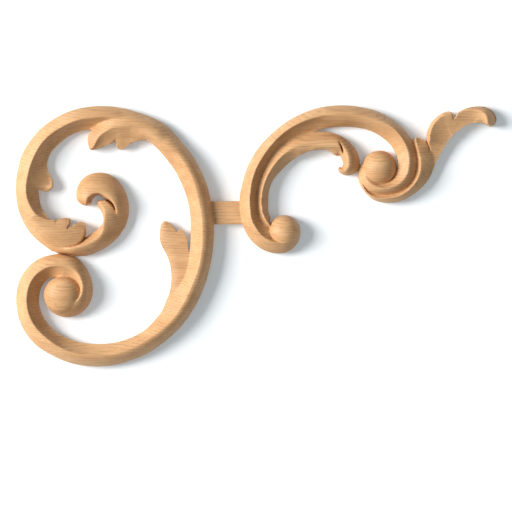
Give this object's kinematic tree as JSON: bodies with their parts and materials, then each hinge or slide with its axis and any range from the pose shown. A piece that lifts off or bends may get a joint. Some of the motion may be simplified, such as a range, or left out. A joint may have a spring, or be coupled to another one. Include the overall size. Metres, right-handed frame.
{
  "type": "carved corner onlay",
  "caption": "Flat-backed carved wood onlay: a large and a small scroll with leaf ends and ball eyes, joined by a flat bar, to glue on furniture.",
  "frame": {"origin": "on the flat back, at the middle of the bar between the two scrolls", "axes": "+X along the length, from the large scroll to the long leaf; +Y up in the plane of the carving; +Z out of the panel it is glued to"},
  "size_m": [0.2997, 0.163, 0.0165],
  "materials": {
    "carved_wood": "smooth carved pale wood, sanded, no varnish"
  },
  "bodies": {
    "root": {"onlay": "carved_wood"}
  },
  "joints": []
}
